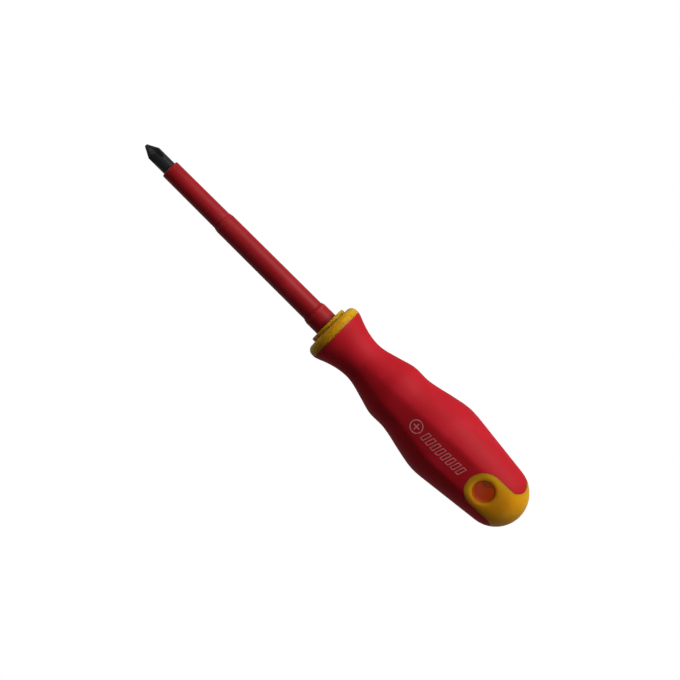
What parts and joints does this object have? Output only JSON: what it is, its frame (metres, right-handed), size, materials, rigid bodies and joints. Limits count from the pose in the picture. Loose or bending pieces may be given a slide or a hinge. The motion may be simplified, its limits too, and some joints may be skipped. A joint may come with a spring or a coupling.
{
  "type": "insulated screwdriver",
  "caption": "Insulated cross-point screwdriver with a fixed blade in stepped red insulation, a red soft grip, a yellow guard and a yellow butt with a hanging hole.",
  "frame": {"origin": "the driver's point, on the axis of the blade", "axes": "+X along the blade from the point to the butt; +Z along the hanging hole, so the flat grip faces look up and down; the tool lies on its side"},
  "size_m": [0.2104, 0.0336, 0.032],
  "materials": {
    "blade_steel": "black oxide, oiled, satin",
    "blade_insulation": "smooth moulded nylon, satin",
    "handle_core": "moulded, satin",
    "yellow_moulding": "moulded, fine satin",
    "soft_grip": "soft thermoplastic rubber, matt with a faint sheen"
  },
  "bodies": {
    "root": {"blade": "blade_steel", "front_insulation": "blade_insulation", "rear_insulation": "blade_insulation", "handle_core": "handle_core", "handle_body": "yellow_moulding", "grip": "soft_grip", "guard": "yellow_moulding", "front_ring": "yellow_moulding"}
  },
  "joints": []
}
